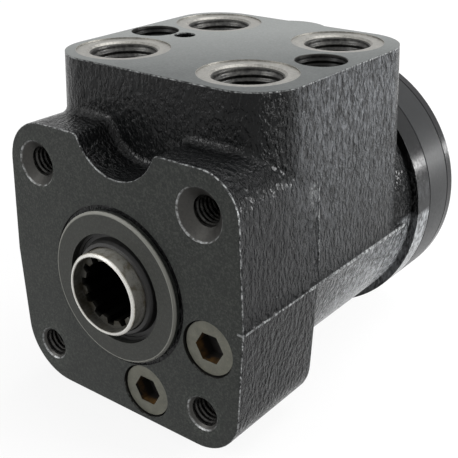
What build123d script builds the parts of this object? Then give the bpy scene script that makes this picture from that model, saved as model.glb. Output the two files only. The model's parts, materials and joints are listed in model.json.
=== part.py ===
"""Orbital steering unit: a rotary steering valve with a gerotor metering set.

Frame: the origin is on the shaft axis, in the plane of the machined column flange.
+X is to the right for someone facing the flange, +Y runs back to the end cover and
+Z points out of the port face. Millimetres throughout.
"""

import os
from math import acos, asin, cos, degrees, hypot, pi, radians, sin, sqrt, tan

from build123d import *

# ---------------------------------------------------------------- driving dimensions
# Column flange and casting
BOLT_SPACING = 58.34  # M10 holes on an 82.5 mm pitch circle
BOLT_CORE_R = 4.25  # M10 tapping size
BOLT_HOLE_DEPTH = 18.0
BOLT_MOUTH_R = {(-1, 1): 6.8, (1, 1): 7.5, (1, -1): 5.4, (-1, -1): 5.25}
FLANGE_TOP = 41.3
FLANGE_BOTTOM = -40.2
FLANGE_DEPTH = 34.2
FLANGE_CORNER_R = {(-1, 1): 13.0, (1, 1): 12.0, (1, -1): 14.0, (-1, -1): 16.0}
CAST_LEFT = 40.8  # half-widths at the parting plane, z = 0
CAST_RIGHT = 42.8
UPPER_DRAFT = 2.4  # degrees, from the parting plane
LOWER_DRAFT = 3.2
FACE_EDGE_R = 0.4
CAST_FILLET_R = 2.5
PARTING_RIDGE_HEIGHT = 0.25
PARTING_RIDGE_FOOT = 0.7  # half-widths at the foot and the crest
PARTING_RIDGE_CREST = 0.3
PARTING_RIDGE_START_Y = 0.8
NOTCH_LIP_R = 2.0
PILOT_R = 22.2
PILOT_HEIGHT = 1.85
PILOT_CHAMFER = 0.5
PILOT_GROOVE_WIDTH = 1.3
PILOT_GROOVE_DEPTH = 0.3
NOTCH_R = 14.5
NOTCH_X = 1.2
NOTCH_Z = 45.9

# Port block
PORT_FACE_Z = 57.04
BLOCK_LEFT = -37.5
BLOCK_RIGHT = 40.0
BLOCK_FRONT = 13.1
BLOCK_REAR = 88.3
BLOCK_CORNER_R = 14.5
REAR_BOSS_X = 1.0
REAR_BOSS_Y = 79.1
REAR_BOSS_R = 11.5
PORT_X = 22.0
PORT_FRONT_Y = 29.4
PORT_REAR_Y = 73.0
PORT_CORE_R = 9.35  # G1/2 core
PORT_MOUTH_R = 10.27
PORT_DEPTH = 15.0
OILWAY_R = 3.2
OILWAY_END_Z = 13.0
GROOVE_OFFSET = 3.6
GROOVE_DEPTH = 4.0
GROOVE_HALF_WIDTH = 2.2
SLEEVE_GROOVE_DEPTH = 0.8
SLEEVE_GROOVE_HALF = 1.8
SPOTFACE_R = 13.5
SPOTFACE_DEPTH = 0.4
VALVE_HOLE_X = 30.0
VALVE_HOLE_Y = 51.7
VALVE_HOLE_R = 7.2  # M16 x 1.5 core
VALVE_HOLE_MOUTH_R = 7.4
VALVE_HOLE_DEPTH = 14.0
SIGNAL_HOLE_X = -18.9
SIGNAL_HOLE_Y = 52.5
SIGNAL_HOLE_R = 3.3
SIGNAL_HOLE_DEPTH = 10.0
DRILL_POINT_SLOPE = 0.6  # depth over radius of a 118 degree point

# Barrel and the stack of discs behind it
BARREL_R = 40.6
DISC_R = 42.95
REAR_FLANGE_Y = 93.2
CHEEK_REAR_Y = 84.0
HOUSING_REAR_Y = 101.5
GEAR_WIDTH = 6.5
RIM_REAR_Y = 114.1
COVER_THICKNESS = 4.3
COVER_CHAMFER = 1.0
EDGE_BREAK = 0.3  # where the discs meet behind the housing and before the cover
COVER_BOLTS = 7
COVER_BOLT_PITCH_R = 32.0
COVER_BOLT_R = 4.0
COVER_BOLT_REACH = 14.0
BOLT_HEAD = 12.0  # across flats
BOLT_HEAD_HEIGHT = 4.8
BOLT_COLLAR_HEIGHT = 1.0
BOLT_CLEARANCE = 0.2
WASHER_R = 6.7
WASHER_THICKNESS = 1.0
PIN_NOSE_R = 3.0
PIN_NOSE_LENGTH = 1.6
O_RING_PITCH_R = 38.8
O_RING_SECTION_R = 0.85
O_RING_GROOVE_DEPTH = 1.8
O_RING_GAP = 0.03  # between the ring and the groove's open side

# Bores along the shaft axis
DUST_POCKET_R = 16.1
DUST_POCKET_Y = 3.0
NOSE_BORE_R = 12.2
SEAL_GROOVE_Y = 5.5
SEAL_GROOVE_R = 15.3
SEAL_THICKNESS = 1.2
SEAL_GROOVE_WIDTH = 3.5
MAIN_BORE_Y = 11.5
SLEEVE_R = 19.0
SPOOL_R = 14.0
RUNNING_GAP = 0.02
CLOSE_GAP = 0.01
SIDE_GAP = 0.05

# Needle thrust bearing
BEARING_R = 18.6
FRONT_RACE_THICKNESS = 2.0
REAR_RACE_THICKNESS = 1.0
NEEDLE_R = 0.95
NEEDLE_COUNT = 14
NEEDLE_INNER_R = 15.2
NEEDLE_OUTER_R = 18.0
CAGE_THICKNESS = 1.4

# Rotary valve
SPOOL_TIP_Y = -6.5
SPOOL_NECK_R = 12.0
SPOOL_NECK_END_Y = 11.8
SPOOL_TIP_CHAMFER = 0.6
SPOOL_BORE_R = 10.9
SPOOL_MOUTH_EDGE = 0.3
SPLINE_TEETH = 12
SPLINE_ROOT_R = 10.3
SPLINE_TIP_R = 8.75
SPLINE_START_Y = -3.5
SPLINE_END_Y = 15.5
SPLINE_RUN_OUT = 0.5
SPLINE_SPACE_HALF = (1.45, 1.05)  # half-widths at the core and at the root
SLEEVE_NECK_R = 17.4
SLEEVE_NECK_END_Y = 26.2
SPRING_Y = 18.3
SPRING_WIDTH = 7.0
SPRING_HALF_LENGTH = 17.1
SPRING_THICKNESS = 0.6
SPRING_BOW = 0.95
SPRING_SLOT_HALF = 2.9
CROSS_PIN_Y = 40.0
CROSS_PIN_R = 3.2
SPOOL_PIN_HOLE_R = 5.9
PIN_END_GAP = 0.35
PIN_CHAMFER = 0.4
METER_HOLE_R = 1.4
COMMUTATOR_Y = 90.0
COMMUTATOR_R = 1.8
SPOOL_GROOVE_WIDTH = 3.2
SPOOL_GROOVE_DEPTH = 1.3
LONG_GROOVE_Y = 62.0
SHORT_GROOVE_Y = 72.0
SPOOL_GROOVE_END_Y = 94.0
CHANNEL_PITCH_R = 25.0
CHANNEL_R = 2.3

# Gerotor set
RING_LOBES = 7
ROTOR_TEETH = 6
ECCENTRICITY = 3.0
LOBE_PITCH_R = 28.5
LOBE_R = 6.3
ROTOR_GAP = 0.04
ROOT_CLEARANCE = 0.15
VALLEY_CROWDING = 0.75  # how much closer the outline's points lie in the valleys
FIRST_LOBE = 90.0  # degrees from +X towards +Z
PLATE_HOLE_R = 12.0
PLATE_PORT_R = 2.5
CARDAN_HEAD_R = 9.3
CARDAN_HEAD_HALF = 7.0
CARDAN_WAIST_R = 6.2
CARDAN_CORE_R = 8.2
CARDAN_TOOTH_R = 10.05
CARDAN_TOOTH_HALF = (1.2, 0.8)  # half-widths at the core and at the tip
CARDAN_TOOTH_START = -2.6  # from the rotor's middle
CARDAN_TOOTH_END = 1.0
CARDAN_SLOT_GAP = 0.06
CARDAN_SLOT_CLEARANCE = 0.6
SPACER_THICKNESS = 1.25
SPACER_GAP = 0.4

# Shock valves behind the two flange plugs, and the check valve in the pump port
SHOCK_VALVES = {"right": (31.4, -8.1), "lower": (8.6, -30.7)}
PLUG_R = 7.75
PLUG_THREAD_R = 6.6
PLUG_MOUTH_R = 8.25
PLUG_RECESS = 0.8
PLUG_HEAD = 3.0
PLUG_LENGTH = 9.5
HEX_SOCKET = 8.0  # across flats
HEX_SOCKET_DEPTH = 5.0
SHOCK_SEAT_Y = 27.0
SHOCK_SEAT_R = 2.4
SHOCK_DRAIN_LENGTH = 9.0
POPPET_COLLAR_START = 4.0  # from the seat towards the plug
POPPET_GAP = 0.3
POPPET_STEM_R = 2.0
POPPET_NECK_R = 3.0
SHOCK_SPRING_R = 4.6
SHOCK_SPRING_WIRE_R = 0.5
SHOCK_SPRING_TURNS = 4.5
SHOCK_SPRING_GAP = 0.6
PLUG_SEAL_HALF = 0.45
CHECK_BALL_R = 4.2
CHECK_SEAT_R = 3.2
CHECK_BORE_R = 5.5
CHECK_BUSH_BOTTOM_Z = 35.5
CHECK_LIFT = 3.0
CHECK_BUSH_DROP = 0.5  # its head lies this far under the port's floor
CHECK_SLACK = 0.06  # between the ball and its seat, and again at its stop

# ---------------------------------------------------------------- worked out
MAIN_BORE_R = SLEEVE_R + RUNNING_GAP
RIM_FRONT_Y = RIM_REAR_Y - GEAR_WIDTH
COVER_REAR_Y = RIM_REAR_Y + COVER_THICKNESS
ROTOR_MID_Y = (RIM_FRONT_Y + RIM_REAR_Y) / 2
BEARING_MID_Y = MAIN_BORE_Y + FRONT_RACE_THICKNESS + NEEDLE_R + RUNNING_GAP
REAR_RACE_Y = BEARING_MID_Y + NEEDLE_R + RUNNING_GAP
SLEEVE_FRONT_Y = REAR_RACE_Y + REAR_RACE_THICKNESS
SLEEVE_REAR_Y = HOUSING_REAR_Y - 0.1
CARDAN_LENGTH = ROTOR_MID_Y - CROSS_PIN_Y
CARDAN_TILT = degrees(asin(ECCENTRICITY / CARDAN_LENGTH))
PORT_FLOOR_Z = PORT_FACE_Z - PORT_DEPTH
CHECK_BALL_DROP = sqrt(CHECK_BALL_R**2 - CHECK_SEAT_R**2) + CHECK_SLACK
CHECK_STOP_Z = CHECK_BUSH_BOTTOM_Z - 2 * CHECK_BALL_DROP - CHECK_LIFT
PORTS = {
    "tank": (-PORT_X, PORT_FRONT_Y, -GROOVE_OFFSET),
    "right_cylinder": (PORT_X, PORT_FRONT_Y, GROOVE_OFFSET),
    "pump": (-PORT_X, PORT_REAR_Y, -GROOVE_OFFSET),
    "left_cylinder": (PORT_X, PORT_REAR_Y, GROOVE_OFFSET),
}


# ---------------------------------------------------------------- shared shapes
def slab(sketch, y0, y1):
    """A sketch drawn in X and Z, made solid from y0 back to y1."""
    return extrude(Plane.XZ.offset(-y0) * sketch, amount=y0 - y1)


def bored(x, z, y0, y1, radius):
    """A round cutter or rod along +Y."""
    return slab(Pos(x, z) * Circle(radius), y0, y1)


def ring(outer_r, inner_r, y0, y1):
    return slab(Circle(outer_r) - Circle(inner_r), y0, y1)


def turned(*points):
    """A solid of revolution about the shaft axis from (radius, y) points."""
    return revolve(make_face(Polyline(*points, close=True)), Axis.Y)


def torus_ring(pitch_r, section_r, y):
    return revolve(Pos(pitch_r, y) * Circle(section_r), Axis.Y)


def upright(x, y, z_top, z_bottom, radius):
    """A vertical round cutter or rod."""
    middle = (z_top + z_bottom) / 2
    return Pos(x, y, middle) * Cylinder(radius, z_top - z_bottom)


def polar(radius, angle):
    return radius * cos(radians(angle)), radius * sin(radians(angle))


def around(count, start=0.0):
    return [start + 360 * k / count for k in range(count)]


def radial_rods(count, radius, y, r_in, r_out, start=0.0):
    """Round rods that point out from the shaft axis."""
    rod = Pos((r_in + r_out) / 2, 0, 0) * Rot(Y=90) * Cylinder(radius, r_out - r_in)
    return [Pos(0, y, 0) * Rot(Y=-angle) * rod for angle in around(count, start)]


def toothed_disc(core_r, tip_r, half_core, half_tip):
    """A disc with straight-sided spline teeth that reach out to tip_r."""
    tooth = make_face(
        Polyline(
            (0, 0),
            (core_r - 0.3, -half_core),
            (tip_r, -half_tip),
            (tip_r, half_tip),
            (core_r - 0.3, half_core),
            close=True,
        )
    )
    disc = Circle(core_r)
    for angle in around(SPLINE_TEETH):
        disc += Rot(Z=angle) * tooth
    return disc


def spline_space():
    """The open section of the internal splines of the spool and the rotor."""
    return toothed_disc(SPLINE_TIP_R, SPLINE_ROOT_R, *SPLINE_SPACE_HALF)


# ---------------------------------------------------------------- housing
def draft_run(height, draft):
    """How far a drafted side moves in over a height."""
    return height * tan(radians(draft))


def flange_body():
    """The thick square flange: drafted sides that meet in a ridge at z = 0."""
    top_run = draft_run(FLANGE_TOP, UPPER_DRAFT)
    bottom_run = draft_run(-FLANGE_BOTTOM, LOWER_DRAFT)
    face = make_face(
        Polyline(
            (top_run - CAST_LEFT, FLANGE_TOP),
            (CAST_RIGHT - top_run, FLANGE_TOP),
            (CAST_RIGHT, 0),
            (CAST_RIGHT - bottom_run, FLANGE_BOTTOM),
            (bottom_run - CAST_LEFT, FLANGE_BOTTOM),
            (-CAST_LEFT, 0),
            close=True,
        )
    )
    for (side, height), radius in FLANGE_CORNER_R.items():
        corner = face.vertices().sort_by(lambda v: side * v.X + height * v.Y)[-1]
        face = fillet(corner, radius)
    return slab(face, 0, FLANGE_DEPTH)


def block_body():
    """The port block: a drafted box with upright corners rounded about the ports."""
    face = make_face(
        Polyline(
            (BLOCK_LEFT, PORT_FACE_Z),
            (BLOCK_RIGHT, PORT_FACE_Z),
            (CAST_RIGHT, 0),
            (-CAST_LEFT, 0),
            close=True,
        )
    )
    block = slab(face, BLOCK_FRONT, BLOCK_REAR)
    corners = block.edges().filter_by(lambda e: abs(e.tangent_at(0.5).Z) > 0.9)
    block = fillet(corners, BLOCK_CORNER_R)
    return block + upright(REAR_BOSS_X, REAR_BOSS_Y, PORT_FACE_Z, 0, REAR_BOSS_R)


def barrel_body():
    """The round body below the ridge, with cheeks that run tangent up to the ridge."""
    left_x, left_z = polar(BARREL_R, -degrees(acos(BARREL_R / CAST_LEFT)))
    right_x, right_z = polar(BARREL_R, -degrees(acos(BARREL_R / CAST_RIGHT)))
    cheeks = make_face(
        Polyline(
            (-CAST_LEFT, 0),
            (CAST_RIGHT, 0),
            (right_x, right_z),
            (-left_x, left_z),
            close=True,
        )
    )
    start = FLANGE_DEPTH - 5
    return slab(Circle(BARREL_R), start, REAR_FLANGE_Y) + slab(cheeks, start, CHEEK_REAR_Y)


def parting_ridge(side, half_width):
    """The low ridge that the two halves of the mould leave along one side."""
    crest = half_width + PARTING_RIDGE_HEIGHT
    section = make_face(
        Polyline(
            (side * (half_width - 1), -PARTING_RIDGE_FOOT),
            (side * (half_width - 1), PARTING_RIDGE_FOOT),
            (side * (half_width - 0.05), PARTING_RIDGE_FOOT),
            (side * crest, PARTING_RIDGE_CREST),
            (side * crest, -PARTING_RIDGE_CREST),
            (side * (half_width - 0.05), -PARTING_RIDGE_FOOT),
            close=True,
        )
    )
    return slab(section, PARTING_RIDGE_START_Y, CHEEK_REAR_Y)


def cast_body():
    """The raw casting with its rounded edges, before any machining."""
    body = flange_body() + block_body() + barrel_body()
    body += turned(
        (0, REAR_FLANGE_Y),
        (DISC_R, REAR_FLANGE_Y),
        (DISC_R, HOUSING_REAR_Y - EDGE_BREAK),
        (DISC_R - EDGE_BREAK, HOUSING_REAR_Y),
        (0, HOUSING_REAR_Y),
    )
    body -= bored(NOTCH_X, NOTCH_Z, -1, BLOCK_FRONT, NOTCH_R)

    def edges_where(test):
        return [edge for edge in body.edges() if test(edge.center())]

    notch_lips = edges_where(
        lambda c: abs(c.Z - FLANGE_TOP) < 0.1
        and abs(c.X - NOTCH_X) < NOTCH_R
        and 1 < c.Y < BLOCK_FRONT - 1
    )
    body = fillet(notch_lips, NOTCH_LIP_R)
    wall_foot = edges_where(
        lambda c: 0 <= c.Y - BLOCK_FRONT < 6.5
        and 30 < c.Z < FLANGE_TOP + 1
        and abs(c.X) < 39
    )
    body = fillet(wall_foot, CAST_FILLET_R)
    body = fillet(edges_where(lambda c: abs(c.Y) < 0.01), FACE_EDGE_R)
    return body + parting_ridge(1, CAST_RIGHT) + parting_ridge(-1, CAST_LEFT)


def bore_cutter():
    """The stepped bore: dust seal pocket, nose, seal groove and valve bore."""
    groove_end = SEAL_GROOVE_Y + SEAL_GROOVE_WIDTH
    return turned(
        (0, -PILOT_HEIGHT - 1),
        (DUST_POCKET_R, -PILOT_HEIGHT - 1),
        (DUST_POCKET_R, DUST_POCKET_Y),
        (NOSE_BORE_R, DUST_POCKET_Y),
        (NOSE_BORE_R, SEAL_GROOVE_Y),
        (SEAL_GROOVE_R, SEAL_GROOVE_Y),
        (SEAL_GROOVE_R, groove_end),
        (NOSE_BORE_R, groove_end),
        (NOSE_BORE_R, MAIN_BORE_Y),
        (MAIN_BORE_R, MAIN_BORE_Y),
        (MAIN_BORE_R, HOUSING_REAR_Y + 1),
        (0, HOUSING_REAR_Y + 1),
    )


def oilway(x, y0, y1):
    """A cored passage from a port's floor to its groove, long enough to span both."""
    height = PORT_FLOOR_Z - OILWAY_END_Z
    run = Box(2 * OILWAY_R, abs(y1 - y0), height)
    middle = (PORT_FLOOR_Z + OILWAY_END_Z) / 2
    passage = Pos(x, (y0 + y1) / 2, middle) * run
    for y in (y0, y1):
        passage += upright(x, y, PORT_FLOOR_Z, OILWAY_END_Z, OILWAY_R)
    return passage


def port_cutters():
    """Each port: spotface, chamfered core, oilway and its groove in the bore."""
    cutters = []
    top = PORT_FACE_Z
    mouth = top - SPOTFACE_DEPTH
    chamfer_depth = PORT_MOUTH_R - PORT_CORE_R
    for x, y, offset in PORTS.values():
        cutters.append(upright(x, y, top + 1, mouth, SPOTFACE_R))
        cone = Cone(PORT_CORE_R, PORT_MOUTH_R, chamfer_depth)
        cutters.append(Pos(x, y, mouth - chamfer_depth / 2) * cone)
        cutters.append(upright(x, y, mouth, PORT_FLOOR_Z, PORT_CORE_R))
        groove_y = y + offset
        cutters.append(oilway(x, y, groove_y))
        start, end = groove_y - GROOVE_HALF_WIDTH, groove_y + GROOVE_HALF_WIDTH
        cutters.append(ring(MAIN_BORE_R + GROOVE_DEPTH, MAIN_BORE_R - 1, start, end))
    x, y, offset = PORTS["pump"]
    cutters.append(upright(x, y + offset, PORT_FLOOR_Z, CHECK_STOP_Z, CHECK_BORE_R))
    return cutters


def valve_block_cutters():
    """The two screw holes, with drill points, and the signal drilling between them."""
    top = PORT_FACE_Z
    floor = top - VALVE_HOLE_DEPTH
    lead = VALVE_HOLE_MOUTH_R - VALVE_HOLE_R
    point = VALVE_HOLE_R * DRILL_POINT_SLOPE
    cutters = []
    for x in (-VALVE_HOLE_X, VALVE_HOLE_X):
        cutters.append(upright(x, VALVE_HOLE_Y, top + 1, floor, VALVE_HOLE_R))
        cone = Cone(VALVE_HOLE_R, VALVE_HOLE_MOUTH_R, lead)
        cutters.append(Pos(x, VALVE_HOLE_Y, top - lead / 2) * cone)
        tip = Cone(0, VALVE_HOLE_R, point)
        cutters.append(Pos(x, VALVE_HOLE_Y, floor - point / 2) * tip)
    signal_floor = top - SIGNAL_HOLE_DEPTH
    cutters.append(upright(SIGNAL_HOLE_X, SIGNAL_HOLE_Y, top + 1, signal_floor, SIGNAL_HOLE_R))
    return cutters


def flange_cutters():
    """Column screw holes with their wide mouths, and the two valve cavities."""
    cutters = []
    for (side, height), mouth_r in BOLT_MOUTH_R.items():
        x = side * BOLT_SPACING / 2
        z = height * BOLT_SPACING / 2
        cutters.append(bored(x, z, -1, BOLT_HOLE_DEPTH, BOLT_CORE_R))
        depth = mouth_r - BOLT_CORE_R
        mouth = Pos(x, depth / 2, z) * Rot(X=90) * Cone(BOLT_CORE_R, mouth_r, depth)
        cutters.append(mouth)
    for x, z in SHOCK_VALVES.values():
        head_end = PLUG_RECESS + PLUG_HEAD
        cutters.append(bored(x, z, -1, head_end, PLUG_MOUTH_R))
        cutters.append(bored(x, z, head_end, SHOCK_SEAT_Y, PLUG_THREAD_R + RUNNING_GAP))
        drain_end = SHOCK_SEAT_Y + SHOCK_DRAIN_LENGTH
        cutters.append(bored(x, z, SHOCK_SEAT_Y, drain_end, SHOCK_SEAT_R))
    return cutters


def rear_cutters():
    """Cover bolt threads, seven commutator channels and the O-ring groove."""
    rear = HOUSING_REAR_Y
    cutters = []
    for angle in around(COVER_BOLTS, FIRST_LOBE):
        x, z = polar(COVER_BOLT_PITCH_R, angle)
        cutters.append(bored(x, z, rear - COVER_BOLT_REACH - 2, rear + 1, COVER_BOLT_R))
    first_channel = FIRST_LOBE + 180 / RING_LOBES
    for angle in around(RING_LOBES, first_channel):
        x, z = polar(CHANNEL_PITCH_R, angle)
        cutters.append(bored(x, z, COMMUTATOR_Y - CHANNEL_R, rear + 1, CHANNEL_R))
    inner = MAIN_BORE_R - 1
    cutters += radial_rods(
        RING_LOBES, COMMUTATOR_R, COMMUTATOR_Y, inner, CHANNEL_PITCH_R, first_channel
    )
    half = O_RING_SECTION_R + RUNNING_GAP
    groove_y = rear - O_RING_GROOVE_DEPTH
    cutters.append(ring(O_RING_PITCH_R + half, O_RING_PITCH_R - half, groove_y, rear + 1))
    return cutters


def build_housing():
    body = cast_body()
    body -= ring(PILOT_R + PILOT_GROOVE_WIDTH, PILOT_R, 0, PILOT_GROOVE_DEPTH)
    pilot = turned(
        (0, 5),
        (0, -PILOT_HEIGHT),
        (PILOT_R - PILOT_CHAMFER, -PILOT_HEIGHT),
        (PILOT_R, -PILOT_HEIGHT + PILOT_CHAMFER),
        (PILOT_R, 5),
    )
    body += pilot
    cutters = [bore_cutter(), *port_cutters(), *valve_block_cutters()]
    cutters += [*flange_cutters(), *rear_cutters()]
    return body - cutters


# ---------------------------------------------------------------- seals and bearing
def build_dust_seal():
    """A rubber wiper: a heel that fills its pocket and a lip that stands up to the neck."""
    lip = SPOOL_NECK_R + 0.08
    return turned(
        (DUST_POCKET_R, 0.4),
        (DUST_POCKET_R, DUST_POCKET_Y),
        (lip + 0.5, DUST_POCKET_Y),
        (lip, -PILOT_HEIGHT + 0.4),
        (lip + 0.3, -PILOT_HEIGHT - 0.1),
        (lip + 1.2, -PILOT_HEIGHT + 0.1),
        (lip + 1.7, -PILOT_HEIGHT + 1.0),
        (lip + 2.1, 0.8),
        (DUST_POCKET_R - 0.8, 0.8),
        (DUST_POCKET_R - 0.8, 0.4),
    )


def build_shaft_seal():
    inner = SPOOL_NECK_R + 0.03
    outer = inner + SEAL_THICKNESS
    start = SEAL_GROOVE_Y + SIDE_GAP
    end = SEAL_GROOVE_Y + SEAL_GROOVE_WIDTH - SIDE_GAP
    return ring(outer, inner, start, end)


def build_shaft_o_ring():
    inner = SPOOL_NECK_R + 0.03 + SEAL_THICKNESS
    section = (SEAL_GROOVE_R - inner) / 2 - CLOSE_GAP
    middle = SEAL_GROOVE_Y + SEAL_GROOVE_WIDTH / 2
    return torus_ring((SEAL_GROOVE_R + inner) / 2, section, middle)


def build_front_race():
    return ring(BEARING_R, SPOOL_R + 0.3, MAIN_BORE_Y, MAIN_BORE_Y + FRONT_RACE_THICKNESS)


def build_rear_race():
    return ring(BEARING_R, SPOOL_R + 0.3, REAR_RACE_Y, SLEEVE_FRONT_Y)


def build_needles():
    rods = radial_rods(
        NEEDLE_COUNT, NEEDLE_R, BEARING_MID_Y, NEEDLE_INNER_R, NEEDLE_OUTER_R
    )
    return Compound(children=list(rods))


def build_needle_cage():
    half = CAGE_THICKNESS / 2
    cage = ring(BEARING_R, SPOOL_R + 0.3, BEARING_MID_Y - half, BEARING_MID_Y + half)
    gap = RUNNING_GAP
    pockets = radial_rods(
        NEEDLE_COUNT,
        NEEDLE_R + gap,
        BEARING_MID_Y,
        NEEDLE_INNER_R - gap,
        NEEDLE_OUTER_R + gap,
    )
    return cage - pockets


# ---------------------------------------------------------------- rotary valve
def pin_rod(radius, half_length):
    """A rod through the axis, along X, at the cross pin's station."""
    return Pos(0, CROSS_PIN_Y, 0) * Rot(Y=90) * Cylinder(radius, 2 * half_length)


def spring_slot():
    """The slot for the leaf springs, right across the valve along Z."""
    gap = 0.2
    width = SPRING_WIDTH + 2 * gap
    box = Box(2 * SPRING_SLOT_HALF, width, 4 * SLEEVE_R)
    return Pos(0, SPRING_Y - gap + width / 2, 0) * box


def build_sleeve():
    inner = SPOOL_R + RUNNING_GAP
    sleeve = turned(
        (inner, SLEEVE_FRONT_Y),
        (SLEEVE_NECK_R, SLEEVE_FRONT_Y),
        (SLEEVE_NECK_R, SLEEVE_NECK_END_Y),
        (SLEEVE_R, SLEEVE_NECK_END_Y),
        (SLEEVE_R, SLEEVE_REAR_Y),
        (inner, SLEEVE_REAR_Y),
    )
    cutters = [spring_slot(), pin_rod(CROSS_PIN_R + CLOSE_GAP, SLEEVE_R + 1)]
    floor_r = SLEEVE_R - SLEEVE_GROOVE_DEPTH
    for middle in (PORT_FRONT_Y + GROOVE_OFFSET, PORT_REAR_Y - GROOVE_OFFSET):
        start, end = middle - SLEEVE_GROOVE_HALF, middle + SLEEVE_GROOVE_HALF
        cutters.append(ring(SLEEVE_R + 1, floor_r, start, end))
    rows = (
        (6, PORT_FRONT_Y + GROOVE_OFFSET, 30.0),
        (6, PORT_REAR_Y - GROOVE_OFFSET, 0.0),
        (6, PORT_REAR_Y + GROOVE_OFFSET, 30.0),
        (12, COMMUTATOR_Y, 15.0),
    )
    for count, y, start in rows:
        cutters += radial_rods(count, METER_HOLE_R, y, inner - 1, SLEEVE_R + 1, start)
    return sleeve - cutters


def spool_groove(angle, y0, y1):
    """An axial metering groove with round ends in the spool's skin."""
    width = SPOOL_GROOVE_WIDTH
    depth = 2 * SPOOL_GROOVE_DEPTH
    run = y1 - y0 - width
    shape = Pos(SPOOL_R, (y0 + y1) / 2, 0) * Rot(Y=90) * Box(width, run, depth)
    ends = [
        Pos(SPOOL_R, end, 0) * Rot(Y=90) * Cylinder(width / 2, depth)
        for end in (y0 + width / 2, y1 - width / 2)
    ]
    return Rot(Y=-angle) * (shape + ends)


def build_spool():
    """The inner spool: splined nose, spring slot, pin holes and metering grooves."""
    chamfered = SPOOL_NECK_R - SPOOL_TIP_CHAMFER
    spool = turned(
        (0, SPOOL_TIP_Y),
        (chamfered, SPOOL_TIP_Y),
        (SPOOL_NECK_R, SPOOL_TIP_Y + SPOOL_TIP_CHAMFER),
        (SPOOL_NECK_R, SPOOL_NECK_END_Y),
        (SPOOL_R, SPOOL_NECK_END_Y),
        (SPOOL_R, SLEEVE_REAR_Y),
        (0, SLEEVE_REAR_Y),
    )
    mouth = turned(
        (0, SPOOL_TIP_Y - 1),
        (SPOOL_BORE_R + 0.2, SPOOL_TIP_Y - 1),
        (SPOOL_BORE_R + 0.2, SPOOL_TIP_Y),
        (SPOOL_BORE_R, SPOOL_TIP_Y + SPOOL_MOUTH_EDGE),
        (SPOOL_BORE_R, SPLINE_START_Y),
        (0, SPLINE_START_Y),
    )
    cutters = [
        mouth,
        slab(spline_space(), SPLINE_START_Y - SPLINE_RUN_OUT, SPLINE_END_Y + SPLINE_RUN_OUT),
        slab(Circle(SPOOL_BORE_R), SPLINE_END_Y, SLEEVE_REAR_Y + 1),
        spring_slot(),
        pin_rod(SPOOL_PIN_HOLE_R, SPOOL_R + 1),
    ]
    for angle in around(6, 30):
        cutters.append(spool_groove(angle, LONG_GROOVE_Y, SPOOL_GROOVE_END_Y))
    for angle in around(6, 0):
        cutters.append(spool_groove(angle, SHORT_GROOVE_Y, SPOOL_GROOVE_END_Y))
    return spool - cutters


def build_cross_pin():
    pin = pin_rod(CROSS_PIN_R, SLEEVE_R - PIN_END_GAP)
    return chamfer(pin.edges().filter_by(GeomType.CIRCLE), PIN_CHAMFER)


def leaf(offset, bow, side):
    """One spring leaf along Z: flat, or bowed so that its ends stand away."""
    half = SPRING_THICKNESS / 2
    reach = SPRING_HALF_LENGTH

    def line_at(shift):
        middle = side * (offset + shift)
        end = side * (offset + bow + shift)
        if bow == 0:
            return Line((end, -reach), (end, reach))
        return ThreePointArc((end, -reach), (middle, 0), (end, reach))

    near = line_at(-half)
    far = line_at(half)
    outline = near + far + Line(near @ 0, far @ 0) + Line(near @ 1, far @ 1)
    return slab(make_face(outline), SPRING_Y, SPRING_Y + SPRING_WIDTH)


def build_flat_springs():
    offset = SPRING_THICKNESS / 2 + RUNNING_GAP / 2
    return Compound(children=[leaf(offset, 0, side) for side in (-1, 1)])


def build_bowed_springs():
    first = 1.5 * SPRING_THICKNESS + 2 * RUNNING_GAP
    second = first + SPRING_THICKNESS + RUNNING_GAP
    leaves = [leaf(offset, SPRING_BOW, side) for side in (-1, 1) for offset in (first, second)]
    return Compound(children=leaves)


def build_spring_ring():
    start, end = SLEEVE_FRONT_Y + 0.3, SLEEVE_NECK_END_Y - RUNNING_GAP
    return ring(SLEEVE_R - 0.1, SLEEVE_NECK_R + RUNNING_GAP, start, end)


# ---------------------------------------------------------------- gerotor set
def lobe_bolt_cutters(y0, y1, radius):
    holes = []
    for angle in around(COVER_BOLTS, FIRST_LOBE):
        x, z = polar(COVER_BOLT_PITCH_R, angle)
        holes.append(bored(x, z, y0, y1, radius))
    return holes


def build_distribution_plate():
    """The plate that ties the seven housing channels to the seven gear chambers."""
    y0 = HOUSING_REAR_Y
    y1 = RIM_FRONT_Y
    cutters = lobe_bolt_cutters(y0 - 1, y1 + 1, COVER_BOLT_R + BOLT_CLEARANCE)
    for angle in around(RING_LOBES, FIRST_LOBE + 180 / RING_LOBES):
        x, z = polar(CHANNEL_PITCH_R, angle)
        cutters.append(bored(x, z, y0 - 1, y1 + 1, PLATE_PORT_R))
    plate = turned(
        (PLATE_HOLE_R, y0),
        (DISC_R - EDGE_BREAK, y0),
        (DISC_R, y0 + EDGE_BREAK),
        (DISC_R, y1),
        (PLATE_HOLE_R, y1),
    )
    return plate - cutters


def build_gear_rim():
    """The fixed ring: seven round lobes that stand in from the root circle."""
    root_r = LOBE_PITCH_R + 2 * ECCENTRICITY - LOBE_R + ROOT_CLEARANCE
    space = Circle(root_r)
    for angle in around(RING_LOBES, FIRST_LOBE):
        space -= Pos(*polar(LOBE_PITCH_R, angle)) * Circle(LOBE_R)
    disc = turned(
        (0, RIM_FRONT_Y),
        (DISC_R, RIM_FRONT_Y),
        (DISC_R, RIM_REAR_Y - EDGE_BREAK),
        (DISC_R - EDGE_BREAK, RIM_REAR_Y),
        (0, RIM_REAR_Y),
    )
    start, end = RIM_FRONT_Y - 1, RIM_REAR_Y + 1
    cutters = lobe_bolt_cutters(start, end, COVER_BOLT_R + BOLT_CLEARANCE)
    return disc - [slab(space, start, end), *cutters]


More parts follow.
